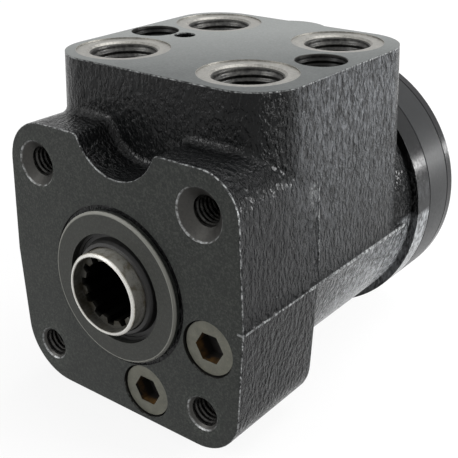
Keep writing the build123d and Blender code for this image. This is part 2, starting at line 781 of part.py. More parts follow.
def rotor_point(t):
    """A point of the rotor: the inner parallel curve of the lobe centres' path.

    Seen from the rotor, each lobe centre of the ring runs on an epitrochoid, and the
    rotor's flank keeps one lobe radius, and the gap, inside it.
    """
    n = RING_LOBES
    x = LOBE_PITCH_R * cos(t) - ECCENTRICITY * cos(n * t)
    z = LOBE_PITCH_R * sin(t) - ECCENTRICITY * sin(n * t)
    dx = -LOBE_PITCH_R * sin(t) + n * ECCENTRICITY * sin(n * t)
    dz = LOBE_PITCH_R * cos(t) - n * ECCENTRICITY * cos(n * t)
    inset = (LOBE_R + ROTOR_GAP) / hypot(dx, dz)
    return x - inset * dz, z + inset * dx


def build_rotor():
    """The orbiting star wheel with its splined bore."""
    steps = 16 * ROTOR_TEETH
    points = []
    for k in range(steps):
        turn = 2 * pi * k / steps
        crowding = VALLEY_CROWDING * sin(ROTOR_TEETH * turn) / ROTOR_TEETH
        points.append(rotor_point(turn - crowding))
    outline = make_face(Spline(*points, periodic=True))
    section = Pos(*polar(ECCENTRICITY, FIRST_LOBE)) * Rot(Z=FIRST_LOBE) * outline
    bore = Pos(*polar(ECCENTRICITY, FIRST_LOBE)) * spline_space()
    return slab(section - bore, RIM_FRONT_Y + SIDE_GAP, RIM_REAR_Y - SIDE_GAP)


def build_cardan_shaft():
    """The drive shaft: a forked head on the cross pin and a crowned spline behind.

    It is drawn straight on the shaft axis, then tilted about the cross pin so that
    its rear end sits in the rotor.
    """
    pin_y = CROSS_PIN_Y
    start = ROTOR_MID_Y + CARDAN_TOOTH_START
    end = ROTOR_MID_Y + CARDAN_TOOTH_END
    shaft = turned(
        (0, pin_y - CARDAN_HEAD_HALF),
        (CARDAN_HEAD_R - 1.7, pin_y - CARDAN_HEAD_HALF),
        (CARDAN_HEAD_R, pin_y - CARDAN_HEAD_HALF + 2.0),
        (CARDAN_HEAD_R, pin_y + CARDAN_HEAD_HALF - 1.0),
        (CARDAN_WAIST_R, pin_y + CARDAN_HEAD_HALF + 4.0),
        (CARDAN_WAIST_R, start - 5.4),
        (CARDAN_CORE_R, start - 2.4),
        (CARDAN_CORE_R, end),
        (CARDAN_CORE_R - 1.0, end + 0.4),
        (0, end + 0.7),
    )
    tooth_shape = toothed_disc(CARDAN_CORE_R, CARDAN_TOOTH_R, *CARDAN_TOOTH_HALF)
    shaft += slab(tooth_shape, start, end)
    slot_floor = pin_y + CROSS_PIN_R + CARDAN_SLOT_CLEARANCE
    slot_depth = 2 * CARDAN_HEAD_HALF
    slot = Box(3 * SPOOL_R, slot_depth, 2 * (CROSS_PIN_R + CARDAN_SLOT_GAP))
    shaft -= Pos(0, slot_floor - slot_depth / 2, 0) * slot
    return Pos(0, pin_y, 0) * Rot(X=CARDAN_TILT) * Pos(0, -pin_y, 0) * shaft


def build_cardan_spacer():
    x, z = polar(ECCENTRICITY, FIRST_LOBE)
    end = RIM_REAR_Y - SIDE_GAP
    return bored(x, z, end - SPACER_THICKNESS, end, SPLINE_TIP_R - SPACER_GAP)


# ---------------------------------------------------------------- rear end
def build_end_cover():
    cover = turned(
        (0, RIM_REAR_Y),
        (DISC_R - EDGE_BREAK, RIM_REAR_Y),
        (DISC_R, RIM_REAR_Y + EDGE_BREAK),
        (DISC_R, COVER_REAR_Y - COVER_CHAMFER),
        (DISC_R - COVER_CHAMFER, COVER_REAR_Y),
        (0, COVER_REAR_Y),
    )
    half = O_RING_SECTION_R + RUNNING_GAP
    groove_end = RIM_REAR_Y + O_RING_GROOVE_DEPTH
    cover -= ring(O_RING_PITCH_R + half, O_RING_PITCH_R - half, RIM_REAR_Y - 1, groove_end)
    return cover - lobe_bolt_cutters(
        RIM_REAR_Y - 1, COVER_REAR_Y + 1, COVER_BOLT_R + BOLT_CLEARANCE
    )


def cover_bolt(angle, nose_reach=0.0):
    """A flanged hexagon bolt; its thread is drawn as a plain shank."""
    seat_y = COVER_REAR_Y + WASHER_THICKNESS
    x, z = polar(COVER_BOLT_PITCH_R, angle)
    tip_y = HOUSING_REAR_Y - COVER_BOLT_REACH
    bolt = bored(x, z, tip_y, seat_y, COVER_BOLT_R - RUNNING_GAP)
    bolt += bored(x, z, seat_y, seat_y + BOLT_COLLAR_HEIGHT, WASHER_R - BOLT_CLEARANCE)
    head = Pos(x, z) * hexagon(BOLT_HEAD)
    bolt += slab(head, seat_y, seat_y + BOLT_HEAD_HEIGHT)
    if nose_reach:
        bolt += bored(x, z, tip_y - nose_reach, tip_y, PIN_NOSE_R)
    return bolt


def build_cover_bolts():
    return Compound(children=[cover_bolt(angle) for angle in around(COVER_BOLTS, FIRST_LOBE)[1:]])


def build_pin_bolt():
    """The one longer cover bolt, whose plain nose reaches the ball's oilway."""
    return cover_bolt(FIRST_LOBE, nose_reach=PIN_NOSE_LENGTH)


def build_bolt_washers():
    rings = []
    for angle in around(COVER_BOLTS, FIRST_LOBE):
        x, z = polar(COVER_BOLT_PITCH_R, angle)
        y0 = COVER_REAR_Y
        disc = Pos(x, z) * (Circle(WASHER_R) - Circle(COVER_BOLT_R + BOLT_CLEARANCE))
        rings.append(slab(disc, y0, y0 + WASHER_THICKNESS))
    return Compound(children=rings)


# ---------------------------------------------------------------- small valves
def hexagon(across_flats):
    return RegularPolygon(across_flats / 2, 6, major_radius=False)


def build_shock_plug(x, z):
    """A hexagon-socket plug, a little below the flange face."""
    y0 = PLUG_RECESS
    plug = bored(x, z, y0, y0 + PLUG_HEAD, PLUG_R)
    plug += bored(x, z, y0 + PLUG_HEAD, y0 + PLUG_LENGTH, PLUG_THREAD_R)
    socket = slab(Pos(x, z) * hexagon(HEX_SOCKET), y0 - 1, y0 + HEX_SOCKET_DEPTH)
    return plug - socket


def build_shock_plug_seals():
    rings = []
    for x, z in SHOCK_VALVES.values():
        middle_y = PLUG_RECESS + PLUG_HEAD - 0.5
        section = make_face(
            Polyline(
                (PLUG_R + RUNNING_GAP, middle_y - PLUG_SEAL_HALF),
                (PLUG_MOUTH_R - RUNNING_GAP, middle_y - PLUG_SEAL_HALF),
                (PLUG_MOUTH_R - RUNNING_GAP, middle_y + PLUG_SEAL_HALF),
                (PLUG_R + RUNNING_GAP, middle_y + PLUG_SEAL_HALF),
                close=True,
            )
        )
        rings.append(Pos(x, 0, z) * revolve(section, Axis.Y))
    return Compound(children=rings)


def build_shock_poppet(x, z):
    """A cone poppet that closes on the seat from the front."""
    seat = SHOCK_SEAT_Y
    collar = seat - POPPET_COLLAR_START
    guide_r = PLUG_THREAD_R - POPPET_GAP
    poppet = turned(
        (0, collar - 2.0),
        (POPPET_STEM_R, collar - 2.0),
        (POPPET_STEM_R, collar),
        (guide_r, collar),
        (guide_r, collar + 2.0),
        (POPPET_NECK_R, seat - 0.5),
        (POPPET_NECK_R, seat - 0.05),
        (SHOCK_SEAT_R - 0.15, seat - 0.05),
        (1.0, seat + 1.4),
        (0, seat + 1.4),
    )
    return Pos(x, 0, z) * poppet


def build_shock_spring(x, z):
    """The poppet's coil spring, one turn after another along +Y."""
    start = PLUG_RECESS + PLUG_LENGTH + SHOCK_SPRING_GAP
    height = SHOCK_SEAT_Y - POPPET_COLLAR_START - SHOCK_SPRING_GAP - start
    path = Helix(pitch=height / SHOCK_SPRING_TURNS, height=height, radius=SHOCK_SPRING_R)
    section = Plane(origin=path @ 0, z_dir=path % 0) * Circle(SHOCK_SPRING_WIRE_R)
    wire = sweep(section, path=path)
    return Pos(x, start, z) * Rot(X=-90) * wire


def build_check_bush():
    """The screwed bush whose lower edge is the check ball's seat."""
    x, y, offset = PORTS["pump"]
    y += offset
    top = PORT_FLOOR_Z - CHECK_BUSH_DROP
    bush = upright(x, y, top, CHECK_BUSH_BOTTOM_Z, CHECK_BORE_R - RUNNING_GAP)
    return bush - upright(x, y, PORT_FLOOR_Z, CHECK_BUSH_BOTTOM_Z - 1, CHECK_SEAT_R)


def build_check_ball():
    x, y, offset = PORTS["pump"]
    return Pos(x, y + offset, CHECK_BUSH_BOTTOM_Z - CHECK_BALL_DROP) * Sphere(CHECK_BALL_R)


# ---------------------------------------------------------------- the whole unit
def all_parts():
    right = SHOCK_VALVES["right"]
    lower = SHOCK_VALVES["lower"]
    return {
        "housing": build_housing(),
        "dust_seal": build_dust_seal(),
        "shaft_seal": build_shaft_seal(),
        "shaft_seal_o_ring": build_shaft_o_ring(),
        "bearing_race_front": build_front_race(),
        "bearing_needles": build_needles(),
        "bearing_cage": build_needle_cage(),
        "bearing_race_rear": build_rear_race(),
        "sleeve": build_sleeve(),
        "spool": build_spool(),
        "cross_pin": build_cross_pin(),
        "flat_leaf_springs": build_flat_springs(),
        "bowed_leaf_springs": build_bowed_springs(),
        "spring_ring": build_spring_ring(),
        "cardan_shaft": build_cardan_shaft(),
        "cardan_spacer": build_cardan_spacer(),
        "housing_o_ring": torus_ring(
            O_RING_PITCH_R, O_RING_SECTION_R, HOUSING_REAR_Y - O_RING_SECTION_R - O_RING_GAP
        ),
        "distribution_plate": build_distribution_plate(),
        "gear_rim": build_gear_rim(),
        "rotor": build_rotor(),
        "cover_o_ring": torus_ring(
            O_RING_PITCH_R, O_RING_SECTION_R, RIM_REAR_Y + O_RING_SECTION_R + O_RING_GAP
        ),
        "end_cover": build_end_cover(),
        "cover_bolts": build_cover_bolts(),
        "pin_bolt": build_pin_bolt(),
        "bolt_washers": build_bolt_washers(),
        "shock_plug_right": build_shock_plug(*right),
        "shock_plug_lower": build_shock_plug(*lower),
        "shock_plug_seals": build_shock_plug_seals(),
        "shock_spring_right": build_shock_spring(*right),
        "shock_spring_lower": build_shock_spring(*lower),
        "shock_poppet_right": build_shock_poppet(*right),
        "shock_poppet_lower": build_shock_poppet(*lower),
        "check_bush": build_check_bush(),
        "check_ball": build_check_ball(),
    }


os.makedirs("parts", exist_ok=True)
for part_name, solid in all_parts().items():
    export_step(solid, f"parts/{part_name}.step")
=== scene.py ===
"""Orbital steering unit: materials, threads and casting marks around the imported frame."""
import json
from math import cos, pi, radians, sin, tau

import bpy
from mathutils import Euler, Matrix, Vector


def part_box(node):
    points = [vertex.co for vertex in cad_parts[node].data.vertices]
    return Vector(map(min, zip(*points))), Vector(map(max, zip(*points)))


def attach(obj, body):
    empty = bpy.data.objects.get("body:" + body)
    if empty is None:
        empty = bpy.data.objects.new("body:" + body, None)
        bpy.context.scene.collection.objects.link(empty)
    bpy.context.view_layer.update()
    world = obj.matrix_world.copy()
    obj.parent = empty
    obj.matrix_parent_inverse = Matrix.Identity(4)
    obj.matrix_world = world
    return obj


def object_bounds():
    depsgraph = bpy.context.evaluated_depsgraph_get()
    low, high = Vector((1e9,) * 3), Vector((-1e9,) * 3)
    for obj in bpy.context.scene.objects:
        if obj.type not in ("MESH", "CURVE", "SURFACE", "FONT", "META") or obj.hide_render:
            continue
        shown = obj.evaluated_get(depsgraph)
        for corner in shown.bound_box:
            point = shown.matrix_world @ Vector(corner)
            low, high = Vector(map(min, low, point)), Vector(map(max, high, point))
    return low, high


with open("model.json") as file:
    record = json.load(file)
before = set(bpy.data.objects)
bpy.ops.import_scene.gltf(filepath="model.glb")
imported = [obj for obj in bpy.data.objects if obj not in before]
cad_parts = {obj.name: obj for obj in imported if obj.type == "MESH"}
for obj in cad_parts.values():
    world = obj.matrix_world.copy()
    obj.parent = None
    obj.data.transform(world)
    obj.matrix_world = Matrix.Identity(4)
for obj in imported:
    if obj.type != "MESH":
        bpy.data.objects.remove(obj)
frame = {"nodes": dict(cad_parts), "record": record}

cad_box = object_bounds()

MM = 0.001

# ---------------------------------------------------------------- sizes from the frame
MOUNTS = {m["name"]: m for m in frame["record"]["mounts"]}
HOUSING_LOW, HOUSING_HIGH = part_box("housing")
FLANGE = MOUNTS["column_flange"]["dims"]
NODE_SLOTS = {part["node"]: part["material_slot"] for part in frame["record"]["subparts"]}
SCREW_OFFSET = FLANGE["spacing_x_mm"] / 2
SCREW_CORE_R = FLANGE["hole_r_mm"]
PORT_NAMES = ("tank_port", "right_cylinder_port", "pump_port", "left_cylinder_port")
VALVE_SCREW_NAMES = ("valve_block_screw_left", "valve_block_screw_right")
PORT_FACE_Z = HOUSING_HIGH[2] / MM
FLOOR_Z = min(cad_box[0][2], HOUSING_LOW[2])

# ---------------------------------------------------------------- sizes in millimetres
SCREW_MOUTHS = {(-1, 1): 6.8, (1, 1): 7.5, (1, -1): 5.4, (-1, -1): 5.25}
SCREW_REACH_R = 7.55  # covers the widest screw mouth
SCREW_HOLE_DEPTH = 18.0
SCREW_THREAD_END = 0.5  # left plain at the bottom of a screw hole
SCREW_THREAD = {"height": 0.55, "pitch": 1.5}
PORT_SPOTFACE_R = 13.5
PORT_SEAT_DEPTH = 1.0
PORT_THREAD = {"height": 0.8, "pitch": 1.814, "length": 12.0}
PORT_THREAD_DROP = 1.35  # from the port face down to the first turn
VALVE_MOUTH_R = 7.45
VALVE_THREAD = {"height": 0.55, "pitch": 1.5, "length": 12.5}
VALVE_THREAD_DROP = 0.6
THREAD_INSET = 0.05  # a threaded wall stands this far inside the hole's own wall
TOP_HOLES_FROM_Z = 30.0  # port and valve screw holes lie above this height
PLUG_MOUTH_R = 8.3
PLUG_HOLE_END_Y = 12.0
PLUG_FACE_Y = 0.9  # the plug's socket lies behind this plane
PLUG_RUST_END_Y = 3.2
DUST_POCKET_R = 16.2
PILOT_R = 22.2
PILOT_FROM_Y = -1.0  # the pilot ring stands in front of this plane
PILOT_RIM_WIDTH = 0.75
# the groove here is painted dark as shade
PILOT_FOOT = (0.1, 1.4)  # the dark groove, outwards from the pilot's radius
SPOOL_BORE_R = 10.96
SPOOL_RIM_R = 11.0
SPOOL_RIM_Y = -6.1
# the painted shade in the spool's bore deepens between these planes
SPOOL_DEEP_Y = (-6.3, -2.0)
SPOOL_STAIN_END_Y = 2.0
REAR_FLANGE_Y = 93.2
CHEEK_REAR_Y = 84.3
EDGE_BAND = 0.45  # the rounded edge of the column flange
FLANGE_RIM_R = 30.0  # the flange's rounded edge lies outside this radius
SIDE_SLOPE = 0.045  # how fast the drafted right side moves in with height
HOUSING_SIDE_X = 42.8
# painted sheen: from here outwards the right side is painted lighter in flecks
SIDE_SHEEN_FROM_X = 42.2
CREST_FROM_X = 42.9
CREST_FROM_Y = 30.0
CALM_SIDE_X = (37.0, 41.0)  # the skin grows from calm to its full relief over this stretch
# the painted sheen on the right side grows over these heights and depths
SIDE_SHEEN_Z = (-4.0, 45.0)
SIDE_SHEEN_Y = (14.0, 40.0)
# painted bounce light, low on the rear of the right side
BOUNCE_LIT_FROM_X = 26.0
BOUNCE_LIT_Y = (30.0, 66.0)
PUNCH_MARK = (-5.2, -23.8)
PUNCH_MARK_R = 0.42
MILLING_CENTRE = (40.0, 20.0)
MILLING_RATE = 5.0  # radians to a millimetre
TURNING_RATE = 9.0
# painted sheen makes the port face paler toward this side
FAR_SIDE_SHEEN = (-10.0, -75.0)  # x less y, where the port face turns paler

# ---------------------------------------------------------------- casting marks in millimetres
PARTING_FROM_X = 40.95  # the parting ridge's foot on the narrower side
PARTING_HALF = 0.32
RIDGE_Y = 34.6
RIDGE_SPAN = (2.0, 31.0)
RIDGE_HALF = 0.35
RIDGE_HEIGHT = 0.22
RIDGE_ROOT = 0.1  # how far its foot is sunk into the wall
RIDGE_STEPS = 44
RIDGE_ACROSS = 7
RIDGE_TAPER = 6  # it reaches full size within a sixth of its length from each end
RIDGE_SWELL = (0.2, 2.1)  # share of its size, and radians to a millimetre
RIDGE_WAVES = ((0.10, 0.9, 0.0), (0.05, 2.7, 1.0))  # sideways reach, rate and start

# ---------------------------------------------------------------- colours
PAINT_IOR = 1.26
DISC_PAINT_IOR = 1.3
PAINT_BLACK = ((0.0025, 0.0028, 0.003), (0.008, 0.0085, 0.009))
# painted sheen: the lighter flecks on the upper right side
PAINT_SIDE_SHEEN = (0.105, 0.110, 0.117)
# painted bounce light: the lighter flecks low on the rear right
PAINT_BOUNCE_LIGHT = (0.26, 0.27, 0.28)
FLANGE_METAL = ((0.024, 0.027, 0.025), (0.036, 0.039, 0.036))
FLANGE_SPECKLE = (0.10, 0.105, 0.095)
PORE_DARK = (0.015, 0.015, 0.015)
# painted shade in the groove at the pilot's foot
GROOVE_SHADE = (0.012, 0.012, 0.012)
PILOT_METAL = (0.085, 0.086, 0.078)
# painted highlight on the pilot's rim
PILOT_RIM_HIGHLIGHT = (0.42, 0.42, 0.38)
PORT_FACE_METAL = ((0.060, 0.066, 0.065), (0.090, 0.097, 0.096))
# painted sheen on the port face's far side
PORT_FACE_SHEEN = (0.20, 0.21, 0.205)
SEAT_METAL = ((0.20, 0.195, 0.18), (0.34, 0.33, 0.305))
HOLE_METAL = ((0.030, 0.030, 0.029), (0.075, 0.073, 0.068))
# rubbed edges: bare metal, lightened as a painted highlight
RUBBED_HIGHLIGHT_METAL = (0.38, 0.39, 0.39)
SPOOL_METAL = ((0.40, 0.39, 0.35), (0.66, 0.65, 0.60))
SPOOL_STAIN = (0.20, 0.165, 0.10)
# painted shade in the spool's bore
SPOOL_BORE_SHADE = (0.004, 0.004, 0.003)
# painted highlight on the spool's rim
SPOOL_RIM_HIGHLIGHT = (0.80, 0.79, 0.75)
PLUG_METAL = ((0.10, 0.10, 0.08), (0.15, 0.15, 0.12))
PLUG_SPECKLE = (0.24, 0.22, 0.17)
# painted shade inside the plug's hexagon socket
SOCKET_SHADE = (0.010, 0.009, 0.008)
SOCKET_RUST = (0.16, 0.085, 0.025)
RUBBER = ((0.006, 0.006, 0.006), (0.018, 0.017, 0.016))
THREAD_METAL = ((0.03, 0.03, 0.03), (0.09, 0.088, 0.082))
THREAD_PAINTED = ((0.006, 0.006, 0.006), (0.02, 0.02, 0.019))

# ---------------------------------------------------------------- camera
CAMERA_AT = (0.1575, -0.1532, 0.1175)
CAMERA_AZIMUTH = 37.77
CAMERA_ELEVATION = 24.73
CAMERA_ROLL = 0.126
SENSOR = 36.0
LENS = 70.99
CLIP_START = 0.01

# ---------------------------------------------------------------- light
WHITE = (1.0, 1.0, 1.0, 1.0)
BRIGHT_SIDE = (0.7, 0.7, 0.15)
ROOM_LEVELS = {"From Min": -0.05, "From Max": 0.95, "To Min": 0.07, "To Max": 1.0}
# painted light on the floor for all but the background rays: darker in front, paler and glowing
# behind
FLOOR_BACKWARD = (0.1, 0.995, 0.0)
FLOOR_PAINTED_LIGHT = {"From Min": 0.04, "From Max": 0.15, "To Min": 0.05, "To Max": 0.92}
FLOOR_PAINTED_GLOW = 0.45
FLOOR_WHITE_SHARE = 0.88  # the rest of what the camera sees is the lit floor with its shadow
FLOOR_HALF = 3.0
FLOOR_DROP = 0.0002
LAMP_AIM = (0.0, 0.04, 0.0)
LAMPS = {  # place and size in metres, power in watts
    "key_right": ((0.85, 0.50, 0.32), (0.4, 0.4), 8.0),
    "strip_right": ((0.95, 0.85, 0.06), (0.9, 0.10), 6.0),
    "top": ((0.1, 0.35, 0.9), (0.7, 0.7), 6.0),
    "fill_front_left": ((-0.5, -0.8, 0.45), (0.5, 0.5), 6.0),
}


# ---------------------------------------------------------------- node helpers
class Material:
    """A material with one Principled shader, and short calls that add nodes to it."""

    def __init__(self, name):
        self.material = bpy.data.materials.new(name)
        self.material.use_nodes = True
        self.tree = self.material.node_tree
        self.shader = self.tree.nodes["Principled BSDF"]
        coordinates = self.tree.nodes.new("ShaderNodeTexCoord")
        scale = self.tree.nodes.new("ShaderNodeVectorMath")
        scale.operation = "SCALE"
        scale.inputs["Scale"].default_value = 1 / MM
        self.link(coordinates.outputs["Object"], scale.inputs[0])
        self.place = scale.outputs[0]
        split = self.tree.nodes.new("ShaderNodeSeparateXYZ")
        self.link(self.place, split.inputs[0])
        self.x, self.y, self.z = split.outputs

    def link(self, source, target):
        self.tree.links.new(source, target)

    def feed(self, value, target):
        """A socket is linked, and a plain value is set on the socket itself."""
        if isinstance(value, bpy.types.NodeSocket):
            self.link(value, target)
        elif isinstance(value, tuple) and len(value) == 3 and target.type == "RGBA":
            target.default_value = (*value, 1.0)
        else:
            target.default_value = value

    def math(self, operation, *values, clamp=False):
        node = self.tree.nodes.new("ShaderNodeMath")
        node.operation = operation
        node.use_clamp = clamp
        for value, target in zip(values, node.inputs):
            self.feed(value, target)
        return node.outputs[0]

    def ramp(self, value, low, high, out_low=0.0, out_high=1.0):
        """A straight, clamped change of value from low to high."""
        node = self.tree.nodes.new("ShaderNodeMapRange")
        for name, number in (
            ("From Min", low),
            ("From Max", high),
            ("To Min", out_low),
            ("To Max", out_high),
        ):
            node.inputs[name].default_value = number
        self.feed(value, node.inputs["Value"])
        return node.outputs["Result"]

    def noise(self, scale, detail=4.0, roughness=0.55, stretch=(1.0, 1.0, 1.0), seed=0.0):
        """Noise with this many features to a millimetre, drawn out along an axis by stretch."""
        vector = self.place
        if stretch != (1.0, 1.0, 1.0):
            squeeze = self.tree.nodes.new("ShaderNodeVectorMath")
            squeeze.operation = "MULTIPLY"
            squeeze.inputs[1].default_value = stretch
            self.link(vector, squeeze.inputs[0])
            vector = squeeze.outputs[0]
        node = self.tree.nodes.new("ShaderNodeTexNoise")
        node.noise_dimensions = "4D"
        self.link(vector, node.inputs["Vector"])
        node.inputs["W"].default_value = seed
        node.inputs["Scale"].default_value = scale
        node.inputs["Detail"].default_value = detail
        node.inputs["Roughness"].default_value = roughness
        return node.outputs["Fac"]

    def mix(self, share, first, second):
        """Numbers, or colours given as triples, mixed by share."""
        node = self.tree.nodes.new("ShaderNodeMix")
        colours = any(
            isinstance(v, tuple) or getattr(v, "type", "") == "RGBA" for v in (first, second)
        )
        node.data_type = "RGBA" if colours else "FLOAT"
        offset = 6 if colours else 2
        self.feed(share, node.inputs[0])
        self.feed(first, node.inputs[offset])
        self.feed(second, node.inputs[offset + 1])
        return node.outputs[2 if colours else 0]

    def radius(self, first, second, centre=(0.0, 0.0)):
        """Distance from a line through centre, measured in the two given coordinates."""
        a = self.math("SUBTRACT", first, centre[0])
        b = self.math("SUBTRACT", second, centre[1])
        total = self.math("ADD", self.math("MULTIPLY", a, a), self.math("MULTIPLY", b, b))
        return self.math("SQRT", total)

    def below(self, value, edge, soft=0.02):
        """1 where value is under the edge, 0 over it."""
        return self.ramp(value, edge - soft, edge + soft, 1.0, 0.0)

    def above(self, value, edge, soft=0.02):
        return self.ramp(value, edge - soft, edge + soft)

    def both(self, *masks):
        total = masks[0]
        for mask in masks[1:]:
            total = self.math("MULTIPLY", total, mask)
        return total

    def either(self, *masks):
        total = masks[0]
        for mask in masks[1:]:
            total = self.math("MAXIMUM", total, mask)
        return total

    def bump(self, height, distance, strength=1.0):
        """Relief whose full height range is distance, in millimetres."""
        node = self.tree.nodes.new("ShaderNodeBump")
        node.inputs["Distance"].default_value = distance * MM
        self.feed(strength, node.inputs["Strength"])
        self.link(height, node.inputs["Height"])
        self.link(node.outputs["Normal"], self.shader.inputs["Normal"])

    def finish(self, colour, roughness, metallic=0.0, **others):
        self.feed(colour, self.shader.inputs["Base Color"])
        self.feed(roughness, self.shader.inputs["Roughness"])
        self.feed(metallic, self.shader.inputs["Metallic"])
        for name, value in others.items():
            self.feed(value, self.shader.inputs[name.replace("_", " ")])
        return self.material


# ---------------------------------------------------------------- places
def mount_place(name):
    return tuple(v / MM for v in MOUNTS[name]["pos_m"])


def middle_of(node):
    low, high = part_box(node)
    return tuple((a + b) / 2 / MM for a, b in zip(low, high))


# ---------------------------------------------------------------- the housing's material
def hole_masks(m):
    """Where the housing's holes are: screws, plugs, shaft, ports and valve screws."""
    across = m.math("ABSOLUTE", m.x)
    upright = m.math("ABSOLUTE", m.z)
    high_up = m.above(m.z, TOP_HOLES_FROM_Z)
    screws = m.both(
        m.below(m.radius(across, upright, (SCREW_OFFSET, SCREW_OFFSET)), SCREW_REACH_R),
        m.below(m.y, SCREW_HOLE_DEPTH + 1),
    )
    plug_rounds = []
    for node in ("shock_plug_right", "shock_plug_lower"):
        x, _, z = middle_of(node)
        plug_rounds.append(m.below(m.radius(m.x, m.z, (x, z)), PLUG_MOUTH_R))
    plugs = m.both(m.either(*plug_rounds), m.below(m.y, PLUG_HOLE_END_Y))
    shaft = m.below(m.radius(m.x, m.z), DUST_POCKET_R)
    port_x, front_y, _ = mount_place("right_cylinder_port")
    _, rear_y, _ = mount_place("left_cylinder_port")
    port_radius = m.math(
        "MINIMUM", m.radius(across, m.y, (port_x, front_y)), m.radius(across, m.y, (port_x, rear_y))
    )
    ports = m.both(m.below(port_radius, PORT_SPOTFACE_R + 0.04), high_up)
    valve_x, valve_y, _ = mount_place("valve_block_screw_right")
    valves = m.both(m.below(m.radius(across, m.y, (valve_x, valve_y)), VALVE_MOUTH_R), high_up)
    return screws, plugs, shaft, ports, valves


def housing_paint(m, side_x, fine):
    """Black gloss with painted sheen in flecks toward the top of the right side and painted bounce
    light low at the rear right: its colour and roughness.
    """
    broad = m.noise(0.09, 3.0)
    fleck_noise = m.noise(1.1, 4.0, 0.7, stretch=(1.0, 0.6, 0.3), seed=21.0)
    flecked = m.ramp(fleck_noise, 0.40, 0.60, 0.10, 1.0)
    right_side = m.above(side_x, SIDE_SHEEN_FROM_X, 0.4)
    # painted sheen, lighter toward the top and rear of the right side
    side_sheen = m.both(right_side, m.ramp(m.z, *SIDE_SHEEN_Z), m.ramp(m.y, *SIDE_SHEEN_Y, 0.12, 1.0))
    # painted bounce light, low at the rear right
    bounce_lit = m.both(m.above(m.x, BOUNCE_LIT_FROM_X, 8.0), m.below(m.z, 0.0, 1.0), m.ramp(m.y, *BOUNCE_LIT_Y))
    paint = m.mix(broad, *PAINT_BLACK)
    paint = m.mix(m.both(side_sheen, flecked), paint, PAINT_SIDE_SHEEN)
    paint = m.mix(m.both(bounce_lit, flecked), paint, PAINT_BOUNCE_LIGHT)
    return paint, m.mix(side_sheen, m.ramp(fine, 0.3, 0.7, 0.12, 0.28), 0.30)


def flange_metal(m, from_axis, patches, speckle):
    """The column flange face: dark satin, with pores, a punch mark and the pilot's ring, with
    painted shade in the groove at its foot and a painted highlight on its rim.
    """
    flange = m.mix(m.ramp(patches, 0.3, 0.75), *FLANGE_METAL)
    flange = m.mix(m.ramp(speckle, 0.45, 0.70, 0.0, 0.7), flange, FLANGE_SPECKLE)
    pores = m.ramp(m.noise(2.4, 2.0, 0.6, seed=31.0), 0.60, 0.68)
    punched = m.below(m.radius(m.x, m.z, PUNCH_MARK), PUNCH_MARK_R, 0.12)
    flange = m.mix(m.math("MULTIPLY", m.either(pores, punched), 0.6), flange, PORE_DARK)
    foot_from, foot_to = PILOT_FOOT
    # painted shade in the groove at the pilot's foot
    foot_shade = m.both(m.above(from_axis, PILOT_R + foot_from), m.below(from_axis, PILOT_R + foot_to))
    flange = m.mix(m.math("MULTIPLY", foot_shade, 0.75), flange, GROOVE_SHADE)
    pilot_top = m.both(m.below(m.y, PILOT_FROM_Y, 0.1), m.below(from_axis, PILOT_R + 0.2))
    # painted highlight round the pilot's rim
    pilot_rim_highlight = m.both(pilot_top, m.above(from_axis, PILOT_R - PILOT_RIM_WIDTH, 0.1))
    flange = m.mix(m.math("MULTIPLY", pilot_top, 0.5), flange, PILOT_METAL)
    return m.mix(m.math("MULTIPLY", pilot_rim_highlight, 0.8), flange, PILOT_RIM_HIGHLIGHT)


def port_face_metal(m, patches):
    """The port face: a little paler than the flange, and palest on its far side, where painted
    sheen lightens it.
    """
    face = m.mix(m.ramp(patches, 0.3, 0.75), *PORT_FACE_METAL)
    # painted sheen, growing toward the far side
    sheen_toward_far_side = m.ramp(m.math("SUBTRACT", m.x, m.y), *FAR_SIDE_SHEEN)
    return m.mix(sheen_toward_far_side, face, PORT_FACE_SHEEN)


def rubbed_and_highlit_edges(m, from_axis, side_x, port_face_or_hole):
    """Rubbed edges, lightened as a painted highlight: round the flange face, along the port face,
    along the parting ridge and on the side.
    """
    outer_edge = m.both(
        m.above(m.y, 0.06, 0.03), m.below(m.y, EDGE_BAND, 0.1), m.above(from_axis, FLANGE_RIM_R)
    )
    top_edge = m.both(
        m.above(m.z, PORT_FACE_Z - 0.4, 0.08), m.math("SUBTRACT", 1.0, port_face_or_hole)
    )
    on_cheek = m.below(m.y, CHEEK_REAR_Y, 0.3)
    parting = m.both(
        m.above(m.math("ABSOLUTE", m.x), PARTING_FROM_X, 0.05),
        m.below(m.math("ABSOLUTE", m.z), PARTING_HALF, 0.1),
        on_cheek,
    )
    crests = m.both(m.above(side_x, CREST_FROM_X, 0.04), m.above(m.y, CREST_FROM_Y), on_cheek)
    return m.either(outer_edge, top_edge, parting, crests)


def casting_skin(m, side_x, bare):
    """Relief with pits drawn out upright, none of it on the turned disc or on bare metal."""
    pits = m.noise(0.8, 3.0, 0.55, stretch=(1.0, 1.0, 0.55), seed=15.0)
    lumps = m.noise(0.3, 2.0, 0.5, seed=5.0)
    skin = m.math("ADD", m.ramp(pits, 0.41, 0.59), m.math("MULTIPLY", lumps, 0.8))
    cast = m.both(m.math("SUBTRACT", 1.0, bare), m.below(m.y, REAR_FLANGE_Y, 0.3))
    calm = m.ramp(m.math("ABSOLUTE", side_x), *CALM_SIDE_X, 0.25, 1.0)
    relief = m.both(m.math("SUBTRACT", skin, 0.8), cast, calm)
    return m.math("MULTIPLY", relief, m.ramp(m.z, -2.0, 2.0, 0.95, 0.75))


def machining_marks(m, from_axis, speckle, front_face, port_face):
    """Turning marks on the flange face and wide milling arcs on the port face."""
    turning = m.math("SINE", m.math("MULTIPLY", from_axis, TURNING_RATE))
    marks = m.math("ADD", m.math("MULTIPLY", turning, 0.006), m.math("MULTIPLY", speckle, 0.07))
    from_centre = m.radius(m.x, m.y, MILLING_CENTRE)
    milling = m.math("SINE", m.math("MULTIPLY", from_centre, MILLING_RATE))
    arcs = m.math("MULTIPLY", m.math("MULTIPLY", milling, 0.004), port_face)
    return m.math("ADD", m.math("MULTIPLY", marks, front_face), arcs)


